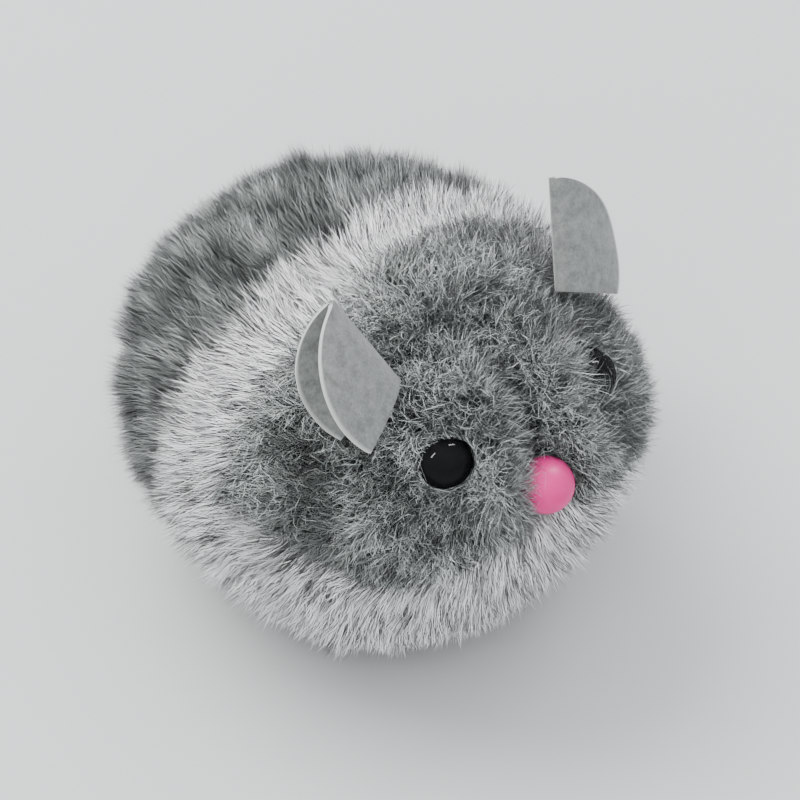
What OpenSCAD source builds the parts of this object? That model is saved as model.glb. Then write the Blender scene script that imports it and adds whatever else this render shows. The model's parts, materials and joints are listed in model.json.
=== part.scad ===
// Clockwork plush mouse: a fur-covered toy mouse that is wound by a key on its left flank,
// rolls on two driven wheels and one trailing wheel, and shakes from an eccentric weight.
// The nose points along -Y and +Z is up. X runs across the body.

/* [Body] */
// Half the width of the body, at the middle of the pile
body_hw = 40.4; // [39:0.1:44]
// Length from the body's centre to its rump
body_hl = 44.6; // [43:0.1:46]
// Length from the body's centre to its front, without the head
body_front = 41.5; // [41:0.1:44]
// Height of the body's centre above the ground
body_mid = 38.5; // [38:0.1:42]
// Height from the body's centre to its back
body_up = 34; // [33:0.1:36]
// Depth from the body's centre to its underside
body_down = 34.8; // [34:0.1:36]
// Thickness of plush: backing and half-combed pile
plush_t = 7.4; // [6:0.1:8]
// Thickness of the plush where it is turned under at the hem
hem_t = 1.3; // [1:0.1:3]

/* [Head] */
// Radius of the stuffed head
head_r = 33; // [31:0.1:34]
// How far the head's centre is forward of the body's centre
head_fwd = 14; // [12:0.5:16]
// How far the head's centre is above the body's centre
head_up = 8; // [6:0.5:9]
// Radius of each cheek
cheek_r = 16.2; // [15:0.1:17]
// Diameter of an eye bead
eye_d = 9.6; // [8:0.1:11]
// Diameter of the nose button
nose_d = 9.6; // [8:0.1:10]
// Radius of the felt disc that is folded into an ear
ear_r = 15; // [13:0.5:17]
// Thickness of the ear felt
felt_t = 0.8; // [0.8:0.1:1.5]

/* [Chassis and housing] */
// Width of the chassis
chassis_w = 34; // [34:0.5:36]
// Length of the chassis
chassis_l = 51; // [51:0.5:53]
// Height of the chassis underside above the ground
chassis_z = 5; // [4.5:0.1:5]
// Thickness of the chassis plate
chassis_t = 2; // [2:0.1:2.5]
// Wall thickness of the housing
wall = 1.5; // [1.2:0.1:1.6]
// Top of the housing above the ground
housing_top = 42.6; // [42.6:0.1:44]

/* [Clockwork] */
// Turns of the mainspring
spring_turns = 7; // [5:1:8]
// Outer radius of the eccentric weight
weight_r = 7.4; // [6:0.1:7.5]

/* [Wheels] */
// Radius of a driven tyre
tyre_r = 8.5; // [8.3:0.1:8.6]
// Width of a driven tyre
tyre_w = 4; // [3:0.5:4]
// Radius of the trailing tyre
trail_r = 6.6; // [6.4:0.1:6.7]

/* [Winding key] */
// Width across the key's two wings
key_span = 17; // [14:0.5:20]
// Thickness of the key's wings
key_t = 3; // [2:0.5:4]

/* [Hidden] */
$fn = 48;
// Radial clearance of a running fit
fit = 0.06;
// Tooth module, and the teeth of each wheel and pinion of the going train
tooth_m = 0.6;
great_teeth = 44;
middle_leaves = 11;
middle_teeth = 30;
drive_leaves = 10;
shaker_leaves = 8;
grey = [0.47, 0.49, 0.48];
white = [0.93, 0.94, 0.94];
felt_grey = [0.62, 0.64, 0.62];
brass = [0.80, 0.66, 0.36];
steel = [0.66, 0.68, 0.70];
black = [0.06, 0.06, 0.07];

// Directions from the body's centre. ph is the angle from the nose's pole at -Y, and th is the
// angle round the body: 0 is the mouse's left, 90 is up, 180 is its right and 270 is down.
centre = [0, 0, body_mid];
function ray(ph, th) = [sin(ph) * cos(th), -cos(ph), sin(ph) * sin(th)];

// Distance to the body: a rounded block whose underside is squarer than its back
function squareness(d) = 2 + 0.2 * min(1, max(0, -1.4 * d[2]));
function to_body(d) =
    let (n = squareness(d), l = d[1] > 0 ? body_hl : body_front, h = d[2] > 0 ? body_up : body_down)
    pow(pow(abs(d[0]) / body_hw, n) + pow(abs(d[1]) / l, n) + pow(abs(d[2]) / h, n), -1 / n);
// Distance to the far side of a ball at c, or 0 where the ray misses it
function to_ball(d, c, r) =
    let (along = d * c, gap = along * along - c * c + r * r)
    gap < 0 || along + sqrt(gap) < 0 ? 0 : along + sqrt(gap);
head_at = [0, -head_fwd, head_up];
cheek_at = [15, -27, 8.5];
blend_power = 20;
function to_head(d) = pow(
    pow(to_body(d), blend_power) + pow(to_ball(d, head_at, head_r), blend_power)
    + pow(to_ball(d, cheek_at, cheek_r), blend_power)
    + pow(to_ball(d, [-cheek_at[0], cheek_at[1], cheek_at[2]], cheek_r), blend_power),
    1 / blend_power);
// The head's bulge fades into the body across the neck
neck_y = -10;
neck_l = 10;
function ease(t) = let (s = min(1, max(0, t))) s * s * (3 - 2 * s);
function to_surface(d) =
    let (far = to_head(d), fade = ease((far * d[1] - neck_y) / neck_l))
    far + (to_body(d) - far) * fade;

// The plush is sewn from panels. Seams run round the body, and a hem goes round the chassis.
collar_front = 75;
collar_back = 97;
hem_x = 21.5;
hem_y = 29.8;
hem_power = 3.2;
low_th = 270;
flank_cols = 8;
over_cols = 32;
function surface_at(ph, th) = centre + to_surface(ray(ph, th)) * ray(ph, th);
// How far a point lies outside the opening, which is 0 at the hem
open_top = 2;
function outside(p) = p[2] > body_mid ? open_top
    : pow(abs(p[0]) / hem_x, hem_power) + pow(abs(p[1]) / hem_y, hem_power) - 1;
function past_hem(ph, th) = outside(surface_at(ph, th));
// The plush's edge between an angle inside the opening and one outside it, by halving
function hem_ph(th, inner, outer, n = 12) =
    n == 0 ? outer
    : past_hem((inner + outer) / 2, th) < 0 ? hem_ph(th, (inner + outer) / 2, outer, n - 1)
    : hem_ph(th, inner, (inner + outer) / 2, n - 1);
function hem_th(ph, inner, outer, n = 12) =
    n == 0 ? outer
    : past_hem(ph, (inner + outer) / 2) < 0 ? hem_th(ph, (inner + outer) / 2, outer, n - 1)
    : hem_th(ph, inner, (inner + outer) / 2, n - 1);
function start_ph(th, seam, pole) = past_hem(seam, th) < 0 ? hem_ph(th, seam, pole) : seam;
// The panel thins from the flanks down to the hem
function plush_at(p) = hem_t + (plush_t - hem_t) * pow(ease(outside(p) / open_top), 2);
function inside_of(p) = p - plush_at(p) * (p - centre) / norm(p - centre);

// Two surfaces, rows by columns, become one closed solid. With a wrap, the last column meets
// the first one, and with a pole, the last row shrinks to one point on each surface.
module shell(front, back, wrap, front_pole, back_pole) {
    rows = len(front);
    cols = len(front[0]);
    size = rows * cols;
    pole = is_list(front_pole);
    last = wrap ? cols - 1 : cols - 2;
    function f(r, c) = r * cols + c % cols;
    function b(r, c) = size + f(r, c);
    function quad(p, q, r, s) = [[p, q, r], [p, r, s]];
    points = [for (row = front) each row, for (row = back) each row,
        if (pole) each [front_pole, back_pole]];
    skins = [for (r = [0:rows - 2], c = [0:last])
        each [each quad(f(r, c), f(r, c + 1), f(r + 1, c + 1), f(r + 1, c)),
              each quad(b(r, c), b(r + 1, c), b(r + 1, c + 1), b(r, c + 1))]];
    first_edge = [for (c = [0:last]) each quad(f(0, c), b(0, c), b(0, c + 1), f(0, c + 1))];
    last_edge = [if (!pole) for (c = [0:last])
        each quad(f(rows - 1, c), f(rows - 1, c + 1), b(rows - 1, c + 1), b(rows - 1, c))];
    tips = [if (pole) for (c = [0:last])
        each [[f(rows - 1, c), f(rows - 1, c + 1), 2 * size],
              [b(rows - 1, c), 2 * size + 1, b(rows - 1, c + 1)]]];
    sides = [if (!wrap) for (r = [0:rows - 2])
        each [each quad(f(r, 0), f(r + 1, 0), b(r + 1, 0), b(r, 0)),
              each quad(f(r, cols - 1), b(r, cols - 1), b(r + 1, cols - 1), f(r + 1, cols - 1))]];
    side_tips = [if (!wrap && pole)
        each [each quad(f(rows - 1, 0), 2 * size, 2 * size + 1, b(rows - 1, 0)),
              each quad(f(rows - 1, cols - 1), b(rows - 1, cols - 1), 2 * size + 1, 2 * size)]];
    polyhedron(points, [for (t = concat(skins, first_edge, last_edge, tips, sides, side_tips))
        [t[0], t[2], t[1]]]);
}

// A cap of plush from a seam to the pole at the nose or the tail. stops are angles round the
// body, each with the number of columns from it to the next one. Two of them lie where the hem
// leaves the seam.
module plush_cap(stops, wrap, seam, pole, rows) {
    ths = [for (i = [0:len(stops) - 2], k = [0:stops[i][1] - 1])
        stops[i][0] + (stops[i + 1][0] - stops[i][0]) * k / stops[i][1],
        if (!wrap) stops[len(stops) - 1][0]];
    front = [for (r = [0:rows - 1]) [for (th = ths)
        let (start = start_ph(th, seam, pole)) surface_at(start + (pole - start) * r / rows, th)]];
    back = [for (row = front) [for (p = row) inside_of(p)]];
    tip = surface_at(pole, 0);
    shell(front, back, wrap, tip, inside_of(tip));
}

collar_rows = 4;
collar_cols = 44;
function hem_leaves(seam) = hem_th(seam, low_th, low_th + 90) - low_th;
front_leave = hem_leaves(collar_front);
back_leave = hem_leaves(collar_back);
collar_points = [for (r = [0:collar_rows]) let (
        ph = collar_front + (collar_back - collar_front) * r / collar_rows,
        start = hem_th(ph, low_th, low_th + 90),
        span = 2 * (low_th + 180 - start))
    [for (c = [0:collar_cols]) surface_at(ph, start + span * c / collar_cols)]];

// The whole model is moved so that the origin is under the middle of its outline
function unit(v) = v / norm(v);
nose_dir = unit([0, -1, 0.285]);
nose_sink = 2.2;
nose_far = to_surface(nose_dir) - nose_sink;
key_out = 52;
low_x = min([for (row = collar_points) for (p = row) p[0]]);
low_y = min(surface_at(0, 0)[1], nose_far * nose_dir[1] - nose_d / 2);
shift = [-(low_x + key_out) / 2, -(low_y + surface_at(180, 0)[1]) / 2, 0];
module placed() translate(shift) children();

// The clockwork's arbors all run along X. Each place is [y, z].
plate_in = 7.5;
plate_t = 0.8;
great_c = [9.5, 25];
great_to_middle = tooth_m * (great_teeth + middle_leaves) / 2;
middle_to_drive = tooth_m * (middle_teeth + drive_leaves) / 2;
middle_to_shaker = tooth_m * (middle_teeth + shaker_leaves) / 2;
middle_dir = 205.5;
function toward(p, dist, angle) = p + dist * [cos(angle), sin(angle)];
middle_c = toward(great_c, great_to_middle, middle_dir);
drive_dir = 180 + asin((middle_c[1] - tyre_r) / middle_to_drive);
drive_c = toward(middle_c, middle_to_drive, drive_dir);
shaker_dir = 128;
shaker_c = toward(middle_c, middle_to_shaker, shaker_dir);
trail_c = [17, trail_r];
arbor_r = 1.5;
middle_r = 0.8;
drive_r = 1;
shaker_r = 0.6;
trail_axle_r = 1;
pillar_r = 1.5;
pillar_at = [[22.3, 15.2], [22, 37.4], [-18.2, 37.4], [-18.4, 17.2]];
spring_r = 12.2;
post_at = toward(great_c, spring_r + 0.9, 45);
bezel_x = 37;

// Places something drawn in the XY plane at [y, z], standing along X from x
module on_x(c, x) translate([x, c[0], c[1]]) rotate([90, 0, 90]) children();
module rod(c, x, length, r) on_x(c, x) cylinder(r = r, h = length);

// One tooth has a root, two flanks that narrow to the tip and a little backlash
function tooth(r, n, k, turn) =
    let (a = turn + 360 * k / n, h = 90 / n)
    [for (s = [[-1.30, -1.15], [-0.84, 0], [-0.40, 0.80], [0.40, 0.80], [0.84, 0], [1.30, -1.15]])
        (r + s[1] * tooth_m) * [cos(a + s[0] * h), sin(a + s[0] * h)]];
module gear(n, thick, bore_r, turn) {
    r = tooth_m * n / 2;
    linear_extrude(thick) difference() {
        polygon([for (k = [0:n - 1]) each tooth(r, n, k, turn)]);
        circle(r = bore_r);
    }
}

// ---- plush and trim ----

module rump_panel() color(grey) placed() difference() {
    plush_cap([[low_th + back_leave, flank_cols], [low_th - back_leave, over_cols],
        [low_th + back_leave - 360, 0]], true, collar_back, 180, 12);
    rod(great_c, 15, 40, 3.4);
}
module collar_band() color(white) placed()
    shell(collar_points, [for (row = collar_points) [for (p = row) inside_of(p)]], false, 0, 0);
module head_panel() color(grey) placed() plush_cap([[0, 24], [180, 0]], false,
    collar_front, 0, 10);
module chin_bib() color(white) placed()
    plush_cap([[180, flank_cols], [low_th - front_leave, flank_cols],
        [low_th + front_leave, flank_cols], [360, 0]], false, collar_front, 0, 10);
binding_t = 3.2;
binding_w = 0.8;
module hem_binding() color(white) placed() translate([0, 0, chassis_z]) linear_extrude(binding_t)
    difference() {
        chassis_outline(-binding_w);
        chassis_outline(0);
    }

// Polyester filling over the housing, in two closed pads under the plush
filling_gap = 4.8;
pad_low = 27;
pad_rows = 6;
function pad_ray(lat, az) = [cos(lat) * cos(az), cos(lat) * sin(az), sin(lat)];
function pad_out(d) = centre + (to_surface(d) - plush_t - filling_gap) * d;
function pad_in(d) = centre + (housing_top + 0.6 - body_mid) / d[2] * d;
module filling(az_from) {
    lats = [for (i = [0:pad_rows - 1]) pad_low + (90 - pad_low) * i / pad_rows];
    azs = [for (i = [0:12]) az_from + 15 * i];
    out = [for (lat = lats) [for (az = azs) pad_out(pad_ray(lat, az))]];
    low = [for (lat = lats) [for (az = azs) pad_in(pad_ray(lat, az))]];
    shell(out, low, false, pad_out([0, 0, 1]), pad_in([0, 0, 1]));
}
module head_filling() color("ghostwhite") placed() filling(180);
module back_filling() color("ghostwhite") placed() filling(0);

// An ear is a felt disc folded in half, whose front layer opens towards the nose. side is 1 on
// the mouse's left and -1 on its right.
ear_at = [17.3, -25.6, 74.7];
ear_fold = [5, 7.6, 12];
ear_out = [11.8, 3.3, -7];
// The discs are cut off where they are sewn in, along a slanted line below their middle
ear_base = 3.4;
ear_slant = 12;
function sided(d, side) = [side * d[0], d[1], d[2]];
// Stands children on the point at, with their X and Y along x and y
module stand(at, x, y) {
    z = cross(x, y);
    multmatrix([[x[0], y[0], z[0], at[0]], [x[1], y[1], z[1], at[1]], [x[2], y[2], z[2], at[2]],
        [0, 0, 0, 1]]) children();
}
module ear(side, opening) {
    fold = unit(sided(ear_fold, side));
    lean = sided(ear_out, side);
    stand(sided(ear_at, side), fold, unit(lean - (lean * fold) * fold)) {
        half_disc(ear_r, ear_base);
        rotate([-side * opening, 0, 0]) translate([0, -0.2, 0])
            half_disc(ear_r - 0.4, ear_base - 0.3);
    }
}
module half_disc(r, base) difference() {
    translate([0, 0, -felt_t / 2]) cylinder(r = r, h = felt_t);
    translate([-2 * r, -4 * r, -felt_t]) cube([4 * r, 4 * r, 2 * felt_t]);
    rotate(ear_slant) translate([-base - 4 * r, -4 * r, -felt_t]) cube([4 * r, 8 * r, 2 * felt_t]);
}
module ear_right() color(felt_grey) placed() ear(-1, 34);
module ear_left() color(felt_grey) placed() ear(1, 12);

// A safety eye is a bead on a shank, held by a toothed washer behind the plush
eye_dir = unit([14.9, -36.4, 21.8]);
eye_sink = 3;
shank_r = 1.2;
shank_end = 1.2;
washer_r = 4;
washer_t = 1;
washer_gap = 3.1;
// Stands children on the body's centre, with their Z along d
module along(d) {
    x = unit(cross([0, 0, 1], d));
    stand(centre, x, cross(d, x)) children();
}
module button(d, far, size) along(d) {
    back = to_surface(d) - plush_t - washer_gap - shank_end;
    translate([0, 0, far]) sphere(d = size);
    translate([0, 0, back]) cylinder(r = shank_r, h = far - back);
}
module washer(d) along(d) translate([0, 0, to_surface(d) - plush_t - washer_gap])
    linear_extrude(washer_t) difference() {
        circle(r = washer_r);
        circle(r = shank_r);
    }
eye_far = to_surface(eye_dir) - eye_sink;
module eye_right() color(black) placed() button(sided(eye_dir, -1), eye_far, eye_d);
module eye_left() color(black) placed() button(eye_dir, eye_far, eye_d);
module eye_washer_right() color("whitesmoke") placed() washer(sided(eye_dir, -1));
module eye_washer_left() color("whitesmoke") placed() washer(eye_dir);
module nose() color("hotpink") placed() button(nose_dir, nose_far, nose_d);
module nose_washer() color("whitesmoke") placed() washer(nose_dir);

// ---- chassis and housing ----

corner_r = 9;
trail_w = 4;
module chassis_outline(inset) {
    w = chassis_w / 2 - inset;
    l = chassis_l / 2 - inset;
    r = corner_r - inset;
    for (x = [-1, 1], y = [-1, 1]) translate([x * (w - r), y * (l - r)]) circle(r = r);
    square([2 * (w - r), 2 * l], center = true);
    square([2 * w, 2 * (l - r)], center = true);
}
deck = chassis_z + chassis_t;
screw_at = [[12.8, 20], [-12.8, 20], [0, -21.6]];
screw_r = 0.9;
tyre_x = plate_in + plate_t + 1 + tyre_w / 2;
slot_gap = 0.7;
ear_x = 3.4;
pad_w = 13;
pad_l = 11;
pad_y = 3;
pad_t = 0.8;
tab_y = [-7, 8];
tab_l = 4;
// A slot in the chassis for a wheel whose middle is at x
module wheel_slot(x, c, r, w) {
    reach = sqrt(r * r - pow(c[1] - deck, 2)) + slot_gap;
    translate([x - w / 2 - slot_gap, c[0] - reach, chassis_z - 1])
        cube([w + 2 * slot_gap, 2 * reach, chassis_t + 2]);
}
module chassis() color([0.16, 0.16, 0.17]) placed() difference() {
    union() {
        translate([0, 0, chassis_z]) linear_extrude(chassis_t) chassis_outline(0);
        for (s = [-1, 1]) translate([s * (ear_x + 0.9) - 0.9, trail_c[0] - 2.2, chassis_z])
            cube([1.8, 4.4, trail_c[1] - chassis_z + 2.4]);
        translate([-pad_w / 2, pad_y - pad_l / 2, chassis_z - pad_t]) cube([pad_w, pad_l, 2 * pad_t]);
    }
    for (s = [-1, 1]) wheel_slot(s * tyre_x, drive_c, tyre_r, tyre_w);
    wheel_slot(0, trail_c, trail_r, trail_w);
    wheel_slot(train_x + pinion_t / 2, drive_c, tooth_m * (drive_leaves / 2 + 0.8), pinion_t);
    rod(trail_c, -10, 20, trail_axle_r);
    for (p = screw_at) translate([p[0], p[1], 0]) cylinder(r = screw_r, h = 20);
    for (s = [-1, 1], y = tab_y) translate([s * (plate_in + plate_t / 2) - plate_t / 2, y,
        chassis_z + 0.5]) cube([plate_t, tab_l, chassis_t]);
}
module housing() color([0.80, 0.82, 0.84]) placed() difference() {
    union() {
        difference() {
            translate([0, 0, deck]) linear_extrude(housing_top - deck) chassis_outline(0);
            translate([0, 0, deck - 1]) linear_extrude(housing_top - deck + 1 - wall)
                chassis_outline(wall);
        }
        for (p = screw_at) translate([p[0], p[1], deck]) cylinder(r = 2.1, h = 6);
        translate([-1, -chassis_l / 2 + wall / 2, deck]) cube([2, 3, 6]);
        for (s = [-1, 1]) translate([s * 14.5 - 1.2, screw_at[0][1] - 1, deck]) cube([2.4, 2, 6]);
    }
    for (p = screw_at) translate([p[0], p[1], 0]) cylinder(r = screw_r, h = 12);
    rod(great_c, 10, 20, 3);
}
module screw() {
    cylinder(r = 1.8, h = 1.1);
    translate([0, 0, 1.1]) cylinder(r = screw_r, h = 6);
}
module housing_screws() color(steel) placed() for (p = screw_at)
    translate([p[0], p[1], chassis_z - 1.1]) difference() {
        screw();
        translate([-1.3, -0.2, -0.1]) cube([2.6, 0.4, 0.6]);
    }

// ---- clockwork frame ----

module plate() linear_extrude(plate_t) difference() {
    union() {
        translate([-19.8, deck]) square([43.6, 34]);
        for (y = tab_y) translate([y, chassis_z + 0.5]) square([tab_l, 2]);
    }
    translate(great_c) circle(r = arbor_r + fit);
    translate(middle_c) circle(r = middle_r + fit);
    translate(drive_c) circle(r = drive_r + fit);
    translate(shaker_c) circle(r = shaker_r + fit);
    for (p = pillar_at) translate(p) circle(r = 0.8);
}
module plate_right() color(steel) placed() on_x([0, 0], -plate_in - plate_t) difference() {
    plate();
    translate([post_at[0], post_at[1], -1]) cylinder(r = 0.7, h = 4);
}
module plate_left() color(steel) placed() on_x([0, 0], plate_in) plate();
module plate_pillars() color(brass) placed() for (p = pillar_at) {
    rod(p, -plate_in, 2 * plate_in, pillar_r);
    rod(p, -plate_in - plate_t - 0.4, 2 * (plate_in + plate_t + 0.4), 0.8);
}
module spring_post() color(brass) placed() {
    rod(post_at, -plate_in, 10, 0.9);
    rod(post_at, -plate_in - plate_t - 0.4, 2, 0.7);
}

// The mainspring is a flat strip wound from its inner eye out to its post
strip_t = 0.35;
spring_in = arbor_r + 0.5;
spring_steps = 24 * spring_turns;
function coil(i, side) =
    let (t = i / spring_steps, r = spring_in + (spring_r - spring_in - strip_t) * t
        + (side > 0 ? strip_t : 0), a = 45 - 360 * spring_turns * (1 - t))
    r * [cos(a), sin(a)];
module mainspring() color([0.42, 0.45, 0.52]) placed() on_x(great_c, -4.5) linear_extrude(6.5)
    polygon(concat([for (i = [0:spring_steps]) coil(i, 1)],
        [for (i = [spring_steps:-1:0]) coil(i, -1)]));

// The bezel lines the hole in the plush where the key's shaft comes out
module key_bezel() color([0.16, 0.16, 0.17]) placed() difference() {
    union() {
        rod(great_c, bezel_x - 6, 6.5, 3.2);
        rod(great_c, bezel_x, 1.4, 4.2);
    }
    rod(great_c, bezel_x - 8, 12, arbor_r + 0.5);
}
module trailing_axle() color(steel) placed()
    rod(trail_c, -ear_x - 2, 2 * (ear_x + 2), trail_axle_r);

// ---- winding arbor and key ----

key_x = bezel_x + 3;
module winding_arbor() color(steel) placed() {
    rod(great_c, -plate_in - plate_t - 1, plate_in + plate_t + 1 + key_x + 4, arbor_r);
    rod(great_c, -plate_in + 0.4, 1.6, arbor_r + 0.8);
}
ratchet_teeth = 12;
module ratchet_wheel() color(steel) placed() on_x(great_c, 2.9) linear_extrude(1.2) difference() {
    polygon([for (k = [0:ratchet_teeth - 1]) each [
        4.4 * [cos(30 * k), sin(30 * k)], 5.4 * [cos(30 * k + 24), sin(30 * k + 24)]]]);
    circle(r = arbor_r);
}
module winding_key() color([0.86, 0.20, 0.22]) placed() on_x(great_c, key_x) difference() {
    union() {
        cylinder(r = 3, h = 6);
        translate([0, 0, 5]) rotate([0, 90, 90]) translate([0, 0, -key_t / 2])
            linear_extrude(key_t) key_wings();
    }
    translate([0, 0, -1]) cylinder(r = arbor_r, h = 5);
}
wing_r = 3.5;
module key_wings() translate([-(key_out - key_x - 5) + wing_r, 0]) difference() {
    union() {
        for (s = [-1, 1]) translate([0, s * (key_span / 2 - wing_r)]) circle(r = wing_r);
        square([2 * wing_r - 2, key_span - 2 * wing_r], center = true);
        translate([0, -3]) square([wing_r + 1, 6]);
    }
    for (s = [-1, 1]) translate([0, s * (key_span / 2 - wing_r)]) circle(r = 1.4);
}

// ---- going train ----

gear_t = 1.4;
great_x = 5;
train_x = -6.6;
pinion_t = 2.4;
module great_wheel() color(brass) placed() {
    on_x(great_c, great_x) gear(great_teeth, gear_t, arbor_r + fit, middle_dir);
}
// A springy strip on the great wheel that catches the ratchet wheel
module leaf_click() color([0.75, 0.72, 0.60]) placed() on_x(great_c, great_x - 0.5) {
    translate([-9, 5.55, 0]) cube([10, 0.4, 0.5]);
    translate([-1.5, 5.55, -1.4]) cube([2.5, 0.4, 1.5]);
    translate([-10, 5.1, 0]) cube([2.4, 1.6, 0.5]);
}
module middle_arbor() color(steel) placed()
    rod(middle_c, -plate_in - plate_t - 0.4, 2 * (plate_in + plate_t + 0.4), middle_r);
module middle_pinion() color(brass) placed() on_x(middle_c, great_x - 0.5)
    gear(middle_leaves, pinion_t, middle_r, middle_dir + 180 + 180 / middle_leaves);
module middle_wheel() color(brass) placed() on_x(middle_c, train_x + 0.5)
    gear(middle_teeth, gear_t, middle_r, drive_dir);
module drive_pinion() color(brass) placed() on_x(drive_c, train_x)
    gear(drive_leaves, pinion_t, drive_r, drive_dir + 180 + 180 / drive_leaves);
// The shaker pinion is turned by as much as the middle wheel's nearest tooth is off the line
tooth_pitch = 360 / middle_teeth;
off_line = (shaker_dir - drive_dir) - tooth_pitch * floor((shaker_dir - drive_dir) / tooth_pitch);
shaker_turn = shaker_dir + 180 + 180 / shaker_leaves + off_line * middle_teeth / shaker_leaves;
module shaker_pinion() color(steel) placed() on_x(shaker_c, train_x)
    gear(shaker_leaves, pinion_t, shaker_r, shaker_turn);
module shaker_arbor() color(steel) placed()
    rod(shaker_c, -plate_in - plate_t - 0.4, 2 * (plate_in + plate_t + 0.4), shaker_r);
module shaker_weight() color([0.50, 0.50, 0.52]) placed() on_x(shaker_c, -3.4)
    linear_extrude(6) difference() {
        union() {
            circle(r = 2);
            intersection() {
                circle(r = weight_r);
                translate([-weight_r, -weight_r]) square([2 * weight_r, weight_r]);
            }
        }
        circle(r = shaker_r);
    }
axle_half = tyre_x + tyre_w / 2 + 0.4;
module drive_axle() color(steel) placed() rod(drive_c, -axle_half, 2 * axle_half, drive_r);

// ---- wheels ----

hub_r = 5.6;
module drive_hub(side) on_x(drive_c, side * tyre_x - tyre_w / 2) difference() {
    union() {
        cylinder(r = 2.4, h = tyre_w);
        translate([0, 0, 0.8]) difference() {
            cylinder(r = hub_r, h = tyre_w - 1.6);
            translate([0, 0, -0.1]) for (k = [0:4]) rotate(72 * k) translate([3.9, 0, 0])
                cylinder(r = 0.9, h = tyre_w);
        }
    }
    translate([0, 0, -1]) cylinder(r = drive_r, h = tyre_w + 2);
}
module tyre(r, bore_r, w) rotate_extrude() {
    difference() {
        translate([bore_r, 0]) square([r - bore_r, w]);
        translate([r, 0]) rotate(45) square([1, 1], center = true);
        translate([r, w]) rotate(45) square([1, 1], center = true);
    }
}
module drive_hub_right() color([0.85, 0.20, 0.18]) placed() drive_hub(-1);
module drive_hub_left() color([0.85, 0.20, 0.18]) placed() drive_hub(1);
module drive_tyre_right() color(black) placed() on_x(drive_c, -tyre_x - tyre_w / 2)
    tyre(tyre_r, hub_r, tyre_w);
module drive_tyre_left() color(black) placed() on_x(drive_c, tyre_x - tyre_w / 2)
    tyre(tyre_r, hub_r, tyre_w);
trail_hub_r = 4.6;
module trailing_hub() color([0.85, 0.20, 0.18]) placed() on_x(trail_c, -trail_w / 2) difference() {
    cylinder(r = trail_hub_r, h = trail_w);
    translate([0, 0, -1]) cylinder(r = trail_axle_r + fit, h = trail_w + 2);
}
module trailing_tyre() color(black) placed() on_x(trail_c, -trail_w / 2)
    tyre(trail_r, trail_hub_r, trail_w);

rump_panel();
collar_band();
head_panel();
chin_bib();
hem_binding();
head_filling();
back_filling();
ear_right();
ear_left();
eye_right();
eye_left();
eye_washer_right();
eye_washer_left();
nose();
nose_washer();
chassis();
housing();
housing_screws();
plate_right();
plate_left();
plate_pillars();
spring_post();
mainspring();
key_bezel();
trailing_axle();
winding_arbor();
ratchet_wheel();
winding_key();
great_wheel();
leaf_click();
middle_arbor();
middle_pinion();
middle_wheel();
drive_axle();
drive_pinion();
drive_hub_right();
drive_hub_left();
drive_tyre_right();
drive_tyre_left();
shaker_arbor();
shaker_pinion();
shaker_weight();
trailing_hub();
trailing_tyre();
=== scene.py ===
"""Clockwork plush mouse: the looks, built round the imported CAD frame.

The fur is real geometry: tapered strands that grow from a cloth backing, combed away from the
nose, clumped, and kept clear of the eyes, nose, ears, key and ground. Lengths in the fur code are
in millimetres from the body's centre; Blender objects are in metres.
"""
import json
import math

import bpy
import numpy as np
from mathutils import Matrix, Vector, kdtree


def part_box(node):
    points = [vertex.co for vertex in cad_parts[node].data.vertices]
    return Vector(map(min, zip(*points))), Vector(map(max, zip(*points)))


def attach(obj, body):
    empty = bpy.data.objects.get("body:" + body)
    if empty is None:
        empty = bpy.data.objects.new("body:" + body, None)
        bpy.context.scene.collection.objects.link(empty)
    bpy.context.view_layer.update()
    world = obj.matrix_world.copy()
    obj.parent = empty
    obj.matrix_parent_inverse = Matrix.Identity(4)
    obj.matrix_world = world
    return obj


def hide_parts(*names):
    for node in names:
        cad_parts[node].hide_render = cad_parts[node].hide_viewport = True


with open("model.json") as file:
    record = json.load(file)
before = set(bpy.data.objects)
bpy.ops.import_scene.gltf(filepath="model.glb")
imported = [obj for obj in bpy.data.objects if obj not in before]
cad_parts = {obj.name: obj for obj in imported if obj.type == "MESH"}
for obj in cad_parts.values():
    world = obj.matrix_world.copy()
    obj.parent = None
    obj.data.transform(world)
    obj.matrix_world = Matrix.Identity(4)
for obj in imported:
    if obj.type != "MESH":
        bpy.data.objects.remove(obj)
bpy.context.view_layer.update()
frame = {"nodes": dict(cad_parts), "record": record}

MM = 0.001
SEED = 7

# ---------------------------------------------------------------- the body's shape

# The body's half sizes to the middle of the pile, and the stuffed head's balls
BODY_HALF_WIDTH = 40.4
BODY_BACK = 44.6
BODY_FRONT = 41.5
BODY_UP = 34
BODY_DOWN = 34.8
CENTRE_HEIGHT = 38.5
HEAD_AT = np.array([0, -14, 8])
HEAD_R = 33.2
NECK_FROM, NECK_TO = -10, 0
CHEEK_AT = np.array([15.0, -27, 8.5])
CHEEK_R = 16.6
BLEND = 20
# The opening round the chassis, and how far outside it the pile has its full depth
HEM_HALF = np.array([21.5, 29.8])
HEM_POWER = 3.2
OPEN_TOP = 2
HEM_T = 1.2
# The white band lies between these angles from the nose
COLLAR_FRONT = math.radians(79)
COLLAR_BACK = math.radians(97)

rump_low, rump_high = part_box("rump_panel")
CENTRE = np.array([
    (rump_low.x + rump_high.x) / 2 / MM,
    rump_high.y / MM - BODY_BACK,
    CENTRE_HEIGHT,
])


def unit(v):
    return v / np.maximum(np.linalg.norm(v, axis=-1, keepdims=True), 1e-9)


def ramp(x, low, high):
    """0 below low, 1 above high and smooth between. low may be above high."""
    t = np.clip((x - low) / (high - low), 0, 1)
    return t * t * (3 - 2 * t)


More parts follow.
